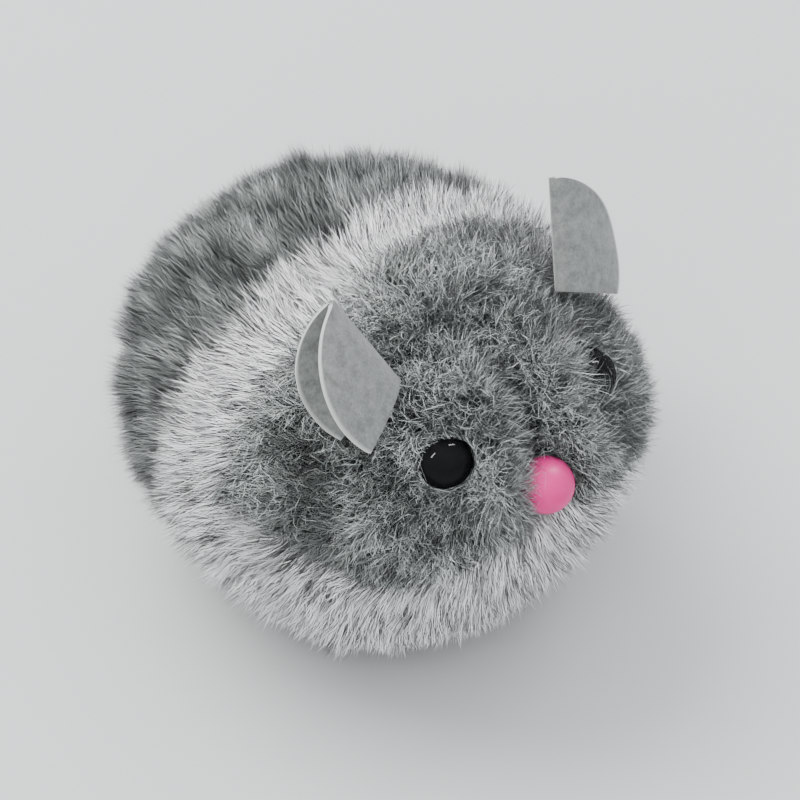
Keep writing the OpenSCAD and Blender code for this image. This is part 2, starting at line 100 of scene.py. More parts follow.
def to_ball(d, c, r):
    """Distance from the centre to the far side of a ball, or 0 where the ray misses it."""
    along = d @ c
    gap = along ** 2 - c @ c + r * r
    return np.where(gap > 0, np.maximum(along + np.sqrt(np.maximum(gap, 0)), 0), 0)


def to_surface(d):
    """Distance from the centre to the middle of the pile along each direction."""
    n = 2 + 0.2 * np.clip(-1.4 * d[:, 2], 0, 1)
    tall = np.where(d[:, 2] > 0, BODY_UP, BODY_DOWN)
    long = np.where(d[:, 1] > 0, BODY_BACK, BODY_FRONT)
    block = (
        np.abs(d[:, 0] / BODY_HALF_WIDTH) ** n
        + np.abs(d[:, 1] / long) ** n
        + np.abs(d[:, 2] / tall) ** n
    ) ** (-1 / n)
    mirrored = CHEEK_AT * [-1, 1, 1]
    far = (
        block ** BLEND
        + to_ball(d, HEAD_AT, HEAD_R) ** BLEND
        + to_ball(d, CHEEK_AT, CHEEK_R) ** BLEND
        + to_ball(d, mirrored, CHEEK_R) ** BLEND
    ) ** (1 / BLEND)
    r = far + (block - far) * ramp(far * d[:, 1], NECK_FROM, NECK_TO)
    return r + face_relief(d * r[:, None])


def face_relief(p):
    """The crease between the muzzle's two halves, the dent of the brow and the puffed cheeks."""
    x, y, z = p.T
    front = ramp(y, -24, -33) * ramp(z, 4, 12)
    crease = -3.0 * np.exp(-(x / 3.6) ** 2) * front
    brow = -1.6 * np.exp(-((y + 29 - 0.12 * np.abs(x)) / 4) ** 2) * ramp(z, 22, 29)
    puff = 2.2 * np.exp(-(((np.abs(x) - 9) / 5.5) ** 2 + ((z - 15) / 7) ** 2)) * ramp(y, -30, -38)
    return crease + brow + puff


def surface(d):
    """Points on the surface and their outward normals."""
    p = d * to_surface(d)[:, None]
    side = unit(np.cross(d, np.where(np.abs(d[:, 2:3]) > 0.9, [[1.0, 0, 0]], [[0, 0, 1.0]])))
    other = np.cross(d, side)
    step = 0.004
    q = unit(d + step * side)
    s = unit(d + step * other)
    n = unit(np.cross(q * to_surface(q)[:, None] - p, s * to_surface(s)[:, None] - p))
    return p, n * np.sign(np.sum(n * d, axis=1))[:, None]


def past_hem(p):
    """Positive outside the opening round the chassis."""
    out = np.sum((np.abs(p[:, :2]) / HEM_HALF) ** HEM_POWER, axis=1) - 1
    return np.where(p[:, 2] > 0, OPEN_TOP, out)


def thinned(p, depth):
    """The pile's depth, thinned to nearly nothing at the hem."""
    return HEM_T + (depth - HEM_T) * ramp(past_hem(p), 0, OPEN_TOP) ** 2


RUMP, COLLAR, HEAD, BIB = range(4)
# Height of the face's lower edge at angles round from the nose, in degrees
FACE_EDGE = (0, 11, 20, 39, 60, 76), (9.5, 5, 2, -3.5, 0, 4)


def panel_of(d, p):
    """Which panel each point belongs to."""
    from_nose = np.arccos(np.clip(-d[:, 1], -1, 1))
    around = np.degrees(np.arctan2(np.abs(p[:, 0]), -p[:, 1]))
    seam = np.interp(around, FACE_EDGE[0], FACE_EDGE[1])
    face = np.where(p[:, 2] > seam, HEAD, BIB)
    return np.where(
        from_nose > COLLAR_BACK, RUMP, np.where(from_nose > COLLAR_FRONT, COLLAR, face)
    )


def waves(p, length, seed):
    """Smooth noise between about -1 and 1, from a few plane waves."""
    rng = np.random.default_rng(seed)
    total = np.zeros(len(p))
    for _ in range(7):
        k = unit(rng.normal(size=3)) * 2 * np.pi / (length * rng.uniform(0.7, 1.4))
        total += np.sin(p @ k + rng.uniform(0, 2 * np.pi))
    return total / 2.6


# ---------------------------------------------------------------- things the fur keeps clear of

def place(node):
    """The middle of a CAD node's box, in millimetres from the body's centre."""
    low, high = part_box(node)
    return (np.array(low) + np.array(high)) / 2 / MM - CENTRE


def eye_bead(node):
    """Centre and outward direction of a bead, whose sphere is the outer end of its node."""
    low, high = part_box(node)
    side = 1 if (low.x + high.x) / 2 / MM > CENTRE[0] else -1
    far_x = (high.x if side > 0 else low.x) / MM - CENTRE[0] - side * EYE_R
    far_y = low.y / MM - CENTRE[1] + EYE_R
    far_z = high.z / MM - CENTRE[2] - EYE_R
    c = np.array([far_x, far_y, far_z])
    return c, unit(c)


EYE_R = 4.8
NOSE_R = 4.8
eye_right_at, eye_right_dir = eye_bead("eye_right")
eye_left_at = eye_bead("eye_left")[0]
nose_low, nose_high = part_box("nose")
nose_at = np.array([
    0,
    nose_low.y / MM - CENTRE[1] + NOSE_R,
    nose_high.z / MM - CENTRE[2] - NOSE_R,
])
nose_dir = unit(nose_at)
key_at = place("key_bezel")

# An ear is a half disc beside its fold
EAR_R = 15
FELT_T = 0.7
EAR_AT = np.array([17.3, -25.6, 74.7 - CENTRE_HEIGHT])
EAR_FOLD = np.array([5, 7.6, 12])
EAR_OUT = np.array([11.8, 3.3, -7])
# The ear is cut off this far below its middle, on a line that slants
EAR_BASE = 3.4
EAR_SLANT = math.radians(12)


def ear_axes(side):
    """An ear's middle, and its directions along the fold, out from it and off its face."""
    flip = np.array([side, 1, 1])
    fold = unit(EAR_FOLD * flip)
    out = EAR_OUT * flip
    out = unit(out - (out @ fold) * fold)
    return EAR_AT * flip, fold, out, np.cross(fold, out)


# ---------------------------------------------------------------- strands

def scatter(rng, density):
    """Directions spread evenly over the surface, density per square millimetre."""
    trial = unit(rng.normal(size=(20000, 3)))
    p, n = surface(trial)
    weight = np.sum(p * p, axis=1) / np.sum(n * trial, axis=1)
    top = weight.max() * 1.02
    count = int(density * 4 * np.pi * top)
    d = unit(rng.normal(size=(count, 3)))
    p, n = surface(d)
    keep = rng.random(count) * top < np.sum(p * p, axis=1) / np.sum(n * d, axis=1)
    keep &= past_hem(p) > 0
    return d[keep], p[keep], n[keep]


COATS = {
    # backing's depth, strand length, lean from the normal at root and tip, spread and curl in
    # degrees, strand width, how far locks draw together, segments
    RUMP: dict(depth=6.6, length=8.2, lean=(12, 38), wild=30, curl=45, width=0.11, clump=0.34,
               steps=3),
    COLLAR: dict(depth=6.6, length=8.6, lean=(16, 46), wild=22, curl=30, width=0.19, clump=0.24,
                 steps=3),
    HEAD: dict(depth=4.6, length=6.6, lean=(24, 68), wild=58, curl=115, width=0.10, clump=0.24,
               steps=4),
    BIB: dict(depth=5.6, length=8.2, lean=(20, 52), wild=22, curl=30, width=0.19, clump=0.24,
              steps=3),
}


def comb_of(p, n):
    """The way the pile lies: away from the nose, and down on the lower half."""
    away = unit(p - nose_at + np.array([0, 0, 2.0]))
    away[:, 2] -= 0.55 * ramp(p[:, 2], 6, -24)
    away[:, 2] += 0.25 * ramp(p[:, 1], 0, 20) * ramp(p[:, 2], -20, 6)
    return unit(away - np.sum(away * n, axis=1)[:, None] * n)


def turn(v, axis, angle):
    """v turned about an axis at right angles to it."""
    return v * np.cos(angle)[:, None] + np.cross(axis, v) * np.sin(angle)[:, None]


def clear_rod(q, root, start, axis, r):
    """Moves points out of a round rod that begins at start, back to their root's side of it."""
    def off_axis(p):
        rel = p - start
        return rel - (rel @ axis)[:, None] * axis
    along = (q - start) @ axis
    off = off_axis(q)
    side = unit(off_axis(root))
    inside = (along > 0) & (np.linalg.norm(off, axis=1) < r)
    inside |= (along > 0) & (np.sum(off * side, axis=1) < 0) & (np.linalg.norm(off, axis=1) < 2 * r)
    q[inside] = (start + along[:, None] * axis + side * r)[inside]


def clear_ball(q, c, r):
    """Moves points out of a ball."""
    rel = q - c
    dist = np.linalg.norm(rel, axis=1)
    inside = dist < r
    q[inside] = c + rel[inside] * (r / np.maximum(dist[inside], 0.3))[:, None]


def clear_ear(q, root, side):
    """Keeps strands on their own side of an ear's felt."""
    at, fold, out, face = ear_axes(side)
    rel, rel_root = q - at, root - at
    height, root_height = rel @ face, rel_root @ face
    half = 1.5 + 0.05 * np.maximum(rel @ out, 0)
    within = (np.hypot(rel @ fold, rel @ out) < EAR_R + 0.5) & (rel @ out > -1.5)
    within &= (rel @ fold) * math.cos(EAR_SLANT) + (rel @ out) * math.sin(EAR_SLANT) > -1
    sign = np.where(root_height >= 0, 1, -1)
    bad = within & (height * sign < half)
    q[bad] += ((sign * half - height)[:, None] * face)[bad]


# A tuft on the bridge of the nose that falls over the left eye
BRIDGE_AT = np.array([9.5, -37, 26])
BRIDGE_SIZE = np.array([4, 5, 4.5])
BRIDGE_WAY = np.array([0.75, -0.1, 0.65])


def grow(rng, p, n, coat, seed):
    """Paths of the strands: an array of points by strand by coordinate."""
    comb = comb_of(p, n)
    depth = thinned(p, coat["depth"])
    root = p - n * depth[:, None]
    count = len(p)
    patch = waves(p, 16, seed)
    lock = waves(p, 5.5, seed + 1)
    wild = math.radians(coat["wild"])
    azimuth = 0.55 * patch * wild * 2 + 0.6 * lock * wild + rng.normal(size=count) * wild * 0.8
    c = turn(comb, n, azimuth)
    length = coat["length"] * rng.normal(1, 0.11, count).clip(0.55, 1.3)
    length *= 1 + 0.10 * waves(p, 7, seed + 2)
    lean_low, lean_high = (math.radians(a) for a in coat["lean"])
    lean_noise = rng.normal(size=count) * 0.16 + 0.22 * waves(p, 6, seed + 3)
    curl = rng.normal(size=count) * math.radians(coat["curl"])
    steps = coat["steps"]
    # the lowest strands hang, and strands shorten with the pile towards the hem
    hang = 0.6 * ramp(p[:, 2], -20, -30)
    length *= 0.56 + 0.44 * depth / coat["depth"]
    tuft = np.exp(-np.sum(((p - BRIDGE_AT) / BRIDGE_SIZE) ** 2, axis=1))
    length *= 1 + 0.45 * tuft
    path = [root]
    for k in range(steps):
        t = (k + 0.5) / steps
        lean = lean_low + (lean_high - lean_low) * t + lean_noise * (0.4 + t)
        way = turn(c, n, curl * t)
        way = unit(way + hang[:, None] * np.array([0, 0, -1.0])
                   + 1.2 * tuft[:, None] * BRIDGE_WAY)
        path.append(path[-1] + (n * np.cos(lean)[:, None] + way * np.sin(lean)[:, None])
                    * (length / steps)[:, None])
    return np.array(path)


def gather(rng, path, spacing, amount):
    """Draws strands together into locks, more towards their tips."""
    steps, count = path.shape[0] - 1, path.shape[1]
    leaders = rng.choice(count, max(8, int(count * spacing)), replace=False)
    tree = kdtree.KDTree(len(leaders))
    for i, leader in enumerate(leaders):
        tree.insert(path[1, leader], i)
    tree.balance()
    mine = leaders[[tree.find(q)[1] for q in path[1]]]
    pull = amount * rng.uniform(0.3, 1.3, count)
    for k in range(1, steps + 1):
        t = (k / steps) ** 1.4
        goal = path[k, mine] + 0.25 * (path[0] - path[0, mine])
        path[k] += (goal - path[k]) * (pull * t)[:, None]


GAP = 0.15
KEY_CLEAR_R = 5.2
GROUND_GAP = 0.9


def keep_clear(path):
    """Moves strands off the beads, the key, the ears, the ground and the hem's opening.

    Strands may cross in front of the left eye, which the tuft half covers.
    """
    root = path[0].copy()
    key_start = np.array([key_at[0] - 12, key_at[1], key_at[2]])
    for q in path[1:]:
        clear_ball(q, eye_right_at, EYE_R + GAP)
        clear_ball(q, eye_left_at, EYE_R + GAP)
        clear_ball(q, nose_at, NOSE_R + GAP)
        clear_rod(q, root, eye_right_at, eye_right_dir, EYE_R * 0.98)
        clear_rod(q, root, nose_at, nose_dir, NOSE_R * 0.8)
        clear_rod(q, root, key_start, np.array([1.0, 0, 0]), KEY_CLEAR_R)
        for side in (-1, 1):
            clear_ear(q, root, side)
        # nothing reaches the ground or the opening round the wheels
        q[:, 2] = np.maximum(q[:, 2], GROUND_GAP - CENTRE_HEIGHT)
        low = (q[:, 2] < -22) & (past_hem(q) < 0.06)
        q[low, :2] *= (1.06 / np.maximum(past_hem(q[low]) + 1, 0.3) ** (1 / HEM_POWER))[:, None]


def strand_mesh(name, path, width, shade, skin_normal, material, rng):
    """One mesh of tapered ribbons with their shade and a bake layout."""
    steps, count = path.shape[0] - 1, path.shape[1]
    tangent = unit(path[-1] - path[0])
    across = unit(np.cross(tangent, unit(rng.normal(size=(count, 3)))))
    wide = width * rng.uniform(0.7, 1.25, count) / 2
    taper = np.linspace(1, 0.55, steps)
    per = 2 * steps + 1
    co = np.empty((count, per, 3))
    for k in range(steps):
        off = across * (wide * taper[k])[:, None]
        co[:, 2 * k] = path[k] - off
        co[:, 2 * k + 1] = path[k] + off
    co[:, -1] = path[-1]
    co = (co + CENTRE) * MM

    quads = [[2 * k, 2 * k + 1, 2 * k + 3, 2 * k + 2] for k in range(steps - 1)]
    corner = np.array(sum(quads, []) + [2 * steps - 2, 2 * steps - 1, 2 * steps])
    sizes = [4] * (steps - 1) + [3]
    starts = np.cumsum([0] + sizes[:-1])
    base = np.arange(count)
    loops = (corner[None, :] + per * base[:, None]).ravel()
    loop_start = (starts[None, :] + len(corner) * base[:, None]).ravel()

    mesh = bpy.data.meshes.new(name)
    mesh.vertices.add(count * per)
    mesh.vertices.foreach_set("co", co.ravel())
    mesh.loops.add(len(loops))
    mesh.loops.foreach_set("vertex_index", loops.astype(np.int32))
    mesh.polygons.add(len(loop_start))
    mesh.polygons.foreach_set("loop_start", loop_start.astype(np.int32))
    mesh.update(calc_edges=True)

    level = np.repeat(np.arange(steps + 1) / steps, [2] * steps + [1])
    # painted shade towards the roots, deep in the pile, and painted light towards the tips
    tone = shade[:, None] + 0.42 * (level[None, :] - 0.5)
    layer = mesh.attributes.new("shade", "FLOAT", "POINT")
    layer.data.foreach_set("value", np.clip(tone, 0, 1).astype(np.float32).ravel())

    grid = math.ceil(math.sqrt(count))
    column, row = base % grid, base // grid
    u = np.tile([0.25, 0.75], steps).tolist() + [0.5]
    uv = np.empty((count, per, 2))
    uv[:, :, 0] = (column[:, None] + np.array(u)[None, :]) / grid
    uv[:, :, 1] = (row[:, None] + 0.1 + 0.8 * level[None, :]) / grid
    bake = mesh.uv_layers.new(name="OFBake")
    bake.data.foreach_set("uv", uv.reshape(-1, 2)[loops].astype(np.float32).ravel())

    # shaded partly like the body under it, so the pile reads as one soft mass
    face = unit(np.cross(across, tangent))
    face *= np.where(np.sum(face * skin_normal, axis=1) < 0, -1, 1)[:, None]
    soft = unit(0.85 * skin_normal + 0.4 * face)
    mesh.polygons.foreach_set("use_smooth", np.ones(len(loop_start), bool))
    mesh.normals_split_custom_set_from_vertices(np.repeat(soft, per, axis=0))

    obj = bpy.data.objects.new(name, mesh)
    bpy.context.scene.collection.objects.link(obj)
    obj.data.materials.append(material)
    return obj


# ---------------------------------------------------------------- materials

def nodes_of(name):
    mat = bpy.data.materials.new(name)
    mat.use_nodes = True
    tree = mat.node_tree
    return mat, tree, tree.nodes["Principled BSDF"]


def colour_ramp(tree, stops):
    node = tree.nodes.new("ShaderNodeValToRGB")
    elements = node.color_ramp.elements
    while len(elements) < len(stops):
        elements.new(0.5)
    for element, (at, colour) in zip(elements, stops):
        element.position = at
        element.color = (*colour, 1)
    return node


def fur_material(name, stops, roughness, sheen):
    mat, tree, shader = nodes_of(name)
    shade = tree.nodes.new("ShaderNodeAttribute")
    shade.attribute_name = "shade"
    ramp_node = colour_ramp(tree, stops)
    tree.links.new(shade.outputs["Fac"], ramp_node.inputs["Fac"])
    tree.links.new(ramp_node.outputs["Color"], shader.inputs["Base Color"])
    shader.inputs["Roughness"].default_value = roughness
    shader.inputs["Sheen Weight"].default_value = sheen
    shader.inputs["Sheen Roughness"].default_value = 0.5
    shader.inputs["Specular IOR Level"].default_value = 0.25
    return mat


def noise_node(tree, scale, detail=4, rough=0.55, coords=None):
    if coords is None:
        coords = tree.nodes.new("ShaderNodeTexCoord").outputs["Object"]
    node = tree.nodes.new("ShaderNodeTexNoise")
    node.inputs["Scale"].default_value = scale
    node.inputs["Detail"].default_value = detail
    node.inputs["Roughness"].default_value = rough
    tree.links.new(coords, node.inputs["Vector"])
    return node


def bump_from(tree, shader, height, strength, distance):
    node = tree.nodes.new("ShaderNodeBump")
    node.inputs["Strength"].default_value = strength
    node.inputs["Distance"].default_value = distance
    tree.links.new(height, node.inputs["Height"])
    tree.links.new(node.outputs["Normal"], shader.inputs["Normal"])
    return node


def solid_material(name, low, high, scale, roughness, metallic=0.0, coat=0.0, specular=0.5,
                   grain=0.2, grain_size=2e-5, stretch=(1, 1, 1)):
    """Base colour between two close tones, with varied roughness and a fine relief."""
    mat, tree, shader = nodes_of(name)
    coords = tree.nodes.new("ShaderNodeTexCoord").outputs["Object"]
    if stretch != (1, 1, 1):
        mapping = tree.nodes.new("ShaderNodeMapping")
        mapping.inputs["Scale"].default_value = stretch
        tree.links.new(coords, mapping.inputs["Vector"])
        coords = mapping.outputs["Vector"]
    noise = noise_node(tree, scale, coords=coords)
    tint = colour_ramp(tree, [(0.3, low), (0.7, high)])
    tree.links.new(noise.outputs["Fac"], tint.inputs["Fac"])
    tree.links.new(tint.outputs["Color"], shader.inputs["Base Color"])
    spread = tree.nodes.new("ShaderNodeMapRange")
    spread.inputs["To Min"].default_value = roughness * 0.8
    spread.inputs["To Max"].default_value = min(1, roughness * 1.2)
    tree.links.new(noise.outputs["Fac"], spread.inputs["Value"])
    tree.links.new(spread.outputs["Result"], shader.inputs["Roughness"])
    shader.inputs["Metallic"].default_value = metallic
    shader.inputs["Coat Weight"].default_value = coat
    shader.inputs["Coat Roughness"].default_value = 0.05
    shader.inputs["Specular IOR Level"].default_value = specular
    fine = noise_node(tree, scale * 6, coords=coords)
    bump_from(tree, shader, fine.outputs["Fac"], grain, grain_size)
    return mat


GREY_STOPS = [(0.0, (0.012, 0.014, 0.013)), (0.30, (0.048, 0.055, 0.051)),
              (0.62, (0.23, 0.252, 0.238)), (1.0, (0.82, 0.86, 0.84))]
WHITE_STOPS = [(0.0, (0.78, 0.79, 0.785)), (0.4, (0.93, 0.935, 0.93)),
               (1.0, (0.98, 0.985, 0.98))]
grey_fur = fur_material("grey_pile", GREY_STOPS, 0.62, 0.25)
white_fur = fur_material("white_pile", WHITE_STOPS, 0.6, 0.2)

# ---------------------------------------------------------------- camera, light and floor

CAMERA_AZIMUTH = math.radians(-39)
CAMERA_ELEVATION = math.radians(45)
CAMERA_DISTANCE = 1.6
VIEW_WIDTH = 0.1322
AIM_RIGHT = 0.0045
AIM_DOWN = 0.0018


def add_camera():
    a, e = CAMERA_AZIMUTH, CAMERA_ELEVATION
    back = Vector((math.sin(a) * math.cos(e), -math.cos(a) * math.cos(e), math.sin(e)))
    right = Vector((math.cos(a), math.sin(a), 0))
    up = back.cross(right)
    aim = Vector(CENTRE * MM) + right * AIM_RIGHT - up * AIM_DOWN
    data = bpy.data.cameras.new("camera")
    data.sensor_width = 36
    data.lens = 36 * CAMERA_DISTANCE / VIEW_WIDTH
    camera = bpy.data.objects.new("camera", data)
    camera.location = aim + back * CAMERA_DISTANCE
    camera.rotation_euler = (-back).to_track_quat("-Z", "Y").to_euler()
    bpy.context.scene.collection.objects.link(camera)
    bpy.context.scene.camera = camera


def add_light(name, at, size, power, size_y=None, glossy=True, diffuse=True):
    data = bpy.data.lights.new(name, "AREA")
    data.energy = power
    data.size = size
    if size_y:
        data.shape = "RECTANGLE"
        data.size_y = size_y
    light = bpy.data.objects.new(name, data)
    light.visible_glossy = glossy
    light.visible_diffuse = diffuse
    light.location = at
    aim = Vector((0, 0, 0.03)) - Vector(at)
    light.rotation_euler = aim.to_track_quat("-Z", "Y").to_euler()
    bpy.context.scene.collection.objects.link(light)


def add_floor():
    mesh = bpy.data.meshes.new("floor")
    half = 3
    mesh.from_pydata([(-half, -half, 0), (half, -half, 0), (half, half, 0), (-half, half, 0)], [],
                     [(0, 1, 2, 3)])
    floor = bpy.data.objects.new("floor", mesh)
    bpy.context.scene.collection.objects.link(floor)
    floor.data.materials.append(solid_material(
        "floor_paint", (0.47, 0.485, 0.478), (0.50, 0.512, 0.507), 4, 0.55, grain=0.05))


def add_world(strength):
    world = bpy.data.worlds.new("studio")
    world.use_nodes = True
    background = world.node_tree.nodes["Background"]
    background.inputs["Color"].default_value = (0.93, 0.96, 1.0, 1)
    background.inputs["Strength"].default_value = strength
    bpy.context.scene.world = world


add_camera()
add_world(1.75)
add_floor()
add_light("soft_key", (-0.25, 0.55, 1.0), 0.9, 22, glossy=False)
add_light("soft_fill", (-0.8, -0.7, 0.9), 0.9, 9, glossy=False)
add_light("window_left", (-0.75, 0.10, 0.78), 0.07, 12, 0.40, diffuse=False)
add_light("window_right", (0.53, -0.08, 0.86), 0.07, 14, 0.40, diffuse=False)

# ---------------------------------------------------------------- fur

# Strands per square millimetre, and the most triangles in one piece of them
DENSITY = 14.0
PIECE_TRIANGLES = 190000
LOCKS_PER_MM2 = 0.35

# Painted light and shade on the face: darker spots paint shade into the muzzle's crease, the brow's
# dent and the sides of the face, most of all low on the cheeks; lighter ones paint light on the
# muzzle and the bridge. Place, size, and change of tone
FACE_LIGHT_AND_SHADE = (
    ((0, -30, 26), (13, 5, 6), -0.20),
    ((0, -40, 19), (3.2, 7, 8), -0.16),
    ((26, -24, 20), (6, 6, 8), -0.16),
    ((9, -40, 17), (6, 6, 6), 0.10),
    ((20, -38, 6), (8, 8, 6), 0.06),
    ((25, -26, 5), (12, 12, 12), -0.30),
    ((0, -37, 26), (8, 9, 7), 0.16),
)


def panel_tone(panel, p, rng, seed):
    """How light each strand is, before its root-to-tip change, which paints shade towards the root
    and light towards the tip.
    """
    painted_light_and_shade = np.zeros(len(p))
    # painted light and shade, the same on both sides of the face
    if panel == HEAD:
        mirrored = np.abs(p * [1, 0, 0]) + p * [0, 1, 1]
        for at, size, change in FACE_LIGHT_AND_SHADE:
            painted_light_and_shade += change * np.exp(-np.sum(((mirrored - at) / size) ** 2, axis=1))
    mottle = 0.13 * waves(p, 14, seed + 10) + 0.12 * waves(p, 4.5, seed + 11)
    strand = rng.normal(size=len(p)) * 0.19
    middle = {RUMP: 0.33, COLLAR: 0.84, HEAD: 0.56, BIB: 0.84}[panel]
    return middle + mottle + strand + painted_light_and_shade


PANELS = {
    RUMP: ("rump_fur", "rump_panel", "plush_grey", grey_fur),
    COLLAR: ("collar_fur", "collar_band", "plush_white", white_fur),
    HEAD: ("head_fur", "head_panel", "plush_grey", grey_fur),
    BIB: ("bib_fur", "chin_bib", "plush_white", white_fur),
}


def add_fur(density):
    rng = np.random.default_rng(SEED)
    d, p, n = scatter(rng, density)
    panels = panel_of(d, p)
    for panel, (name, node, slot, material) in PANELS.items():
        mine = panels == panel
        coat = COATS[panel]
        q, m = p[mine], n[mine]
        # no roots under the eyes, the nose or the key's bezel
        bare = np.zeros(len(q), bool)
        for at, r in ((eye_right_at, 3.6), (eye_left_at, 3.6), (nose_at, 3.2)):
            bare |= np.linalg.norm(np.cross(q, unit(at)), axis=1) < r * (q @ at > 0)
        bare |= (np.hypot(q[:, 1] - key_at[1], q[:, 2] - key_at[2]) < 4.6) & (q[:, 0] > 25)
        q, m = q[~bare], m[~bare]
        path = grow(rng, q, m, coat, 100 * panel + 3)
        gather(rng, path, LOCKS_PER_MM2 / density, coat["clump"])
        keep_clear(path)
        tone = panel_tone(panel, q, rng, 100 * panel)
        parts = math.ceil(len(q) * (2 * coat["steps"] - 1) / PIECE_TRIANGLES)
        for i in range(parts):
            part = slice(i, None, parts)
            label = f"{name}_{i + 1}"
            obj = strand_mesh(label, path[:, part], coat["width"], tone[part], m[part],
                              material, rng)
            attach(obj, "body")
            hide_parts(node)


# ---------------------------------------------------------------- backing cloth under the fur

BACKING_T = 0.8
# The cloth lies this far below the strands' roots
BACKING_BELOW = 0.8


def add_backing():
    """The woven cloth that the pile grows from, one shell from the hem to the crown."""
    columns, rows = 144, 64
    az = np.linspace(0, 2 * np.pi, columns, endpoint=False)
    grid = []
    for a in az:
        lats = np.linspace(-np.pi / 2 + 0.02, 0, 200)
        d = np.stack([np.cos(lats) * np.cos(a), np.cos(lats) * np.sin(a), np.sin(lats)], axis=1)
        p = d * to_surface(d)[:, None]
        first = lats[np.argmax(past_hem(p) > 0)]
        grid.append(first + (np.pi / 2 - first) * np.arange(rows) / rows)
    lat = np.array(grid).T
    d = np.stack([np.cos(lat) * np.cos(az), np.cos(lat) * np.sin(az), np.sin(lat)], axis=-1)
    d = np.concatenate([d.reshape(-1, 3), [[0, 0, 1.0]]])
    p, n = surface(d)
    panels = panel_of(d, p)
    depth = np.array([COATS[k]["depth"] for k in range(4)])[panels]
    depth = thinned(p, depth) + BACKING_BELOW
    co = p - n * depth[:, None]
    faces = []
    for r in range(rows - 1):
        for c in range(columns):
            e = (c + 1) % columns
            faces.append((r * columns + c, r * columns + e, (r + 1) * columns + e,
                          (r + 1) * columns + c))
    tip = rows * columns
    faces += [((rows - 1) * columns + c, (rows - 1) * columns + (c + 1) % columns, tip)
              for c in range(columns)]
    mesh = bpy.data.meshes.new("plush_backing")
    mesh.from_pydata(((co + CENTRE) * MM).tolist(), [], faces)
    mesh.update()
    tone = np.where((panels == RUMP) | (panels == HEAD), 0.22, 1.0)
    layer = mesh.attributes.new("shade", "FLOAT", "POINT")
    layer.data.foreach_set("value", tone.astype(np.float32))
    obj = bpy.data.objects.new("plush_backing", mesh)
    bpy.context.scene.collection.objects.link(obj)
    for face in mesh.polygons:
        face.use_smooth = True
    solid = obj.modifiers.new("thickness", "SOLIDIFY")
    solid.thickness = BACKING_T * MM
    solid.offset = -1
    mat, tree, shader = nodes_of("backing_cloth")
    shade = tree.nodes.new("ShaderNodeAttribute")
    shade.attribute_name = "shade"
    tint = colour_ramp(tree, [(0.0, (0.015, 0.017, 0.016)), (0.3, (0.05, 0.055, 0.052)),
                              (0.7, (0.62, 0.62, 0.61)), (1.0, (0.8, 0.8, 0.79))])
    tree.links.new(shade.outputs["Fac"], tint.inputs["Fac"])
    tree.links.new(tint.outputs["Color"], shader.inputs["Base Color"])
    shader.inputs["Roughness"].default_value = 0.9
    weave = noise_node(tree, 1800, 2)
    bump_from(tree, shader, weave.outputs["Fac"], 0.4, 1e-4)
    mesh.materials.append(mat)
    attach(obj, "body")
    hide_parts("rump_panel", "head_panel", "collar_band", "chin_bib")


# ---------------------------------------------------------------- ears

# How far each ear's front layer stands open, by side
FELT_OPEN = {1: math.radians(10), -1: math.radians(42)}


def felt_material():
    mat, tree, shader = nodes_of("grey_felt")
    coords = tree.nodes.new("ShaderNodeTexCoord").outputs["Object"]
    fibre = tree.nodes.new("ShaderNodeMapping")
    fibre.inputs["Scale"].default_value = (1, 1, 0.45)
    tree.links.new(coords, fibre.inputs["Vector"])
    patch = noise_node(tree, 550, 3, 0.6, coords)
    fine = noise_node(tree, 2600, 4, 0.7, fibre.outputs["Vector"])
    mix = tree.nodes.new("ShaderNodeMix")
    mix.data_type = "FLOAT"
    mix.inputs["Factor"].default_value = 0.5
    tree.links.new(patch.outputs["Fac"], mix.inputs["A"])
    tree.links.new(fine.outputs["Fac"], mix.inputs["B"])
    felt = colour_ramp(tree, [(0.36, (0.08, 0.086, 0.081)), (0.62, (0.172, 0.183, 0.174))])
    tree.links.new(mix.outputs["Result"], felt.inputs["Fac"])
    # painted highlight: the felt's cut rim is painted lighter, where its fibres catch the light
    rim = tree.nodes.new("ShaderNodeAttribute")
    rim.attribute_name = "rim"
    rim_highlight = tree.nodes.new("ShaderNodeMix")
    rim_highlight.data_type = "RGBA"
    rim_highlight.inputs["B"].default_value = (0.36, 0.375, 0.36, 1)
    tree.links.new(rim.outputs["Fac"], rim_highlight.inputs["Factor"])
    tree.links.new(felt.outputs["Color"], rim_highlight.inputs["A"])
    tree.links.new(rim_highlight.outputs["Result"], shader.inputs["Base Color"])
    shader.inputs["Roughness"].default_value = 0.95
    shader.inputs["Sheen Weight"].default_value = 0.3
    bump_from(tree, shader, mix.outputs["Result"], 0.6, 1.5e-4)
    return mat


felt = felt_material()


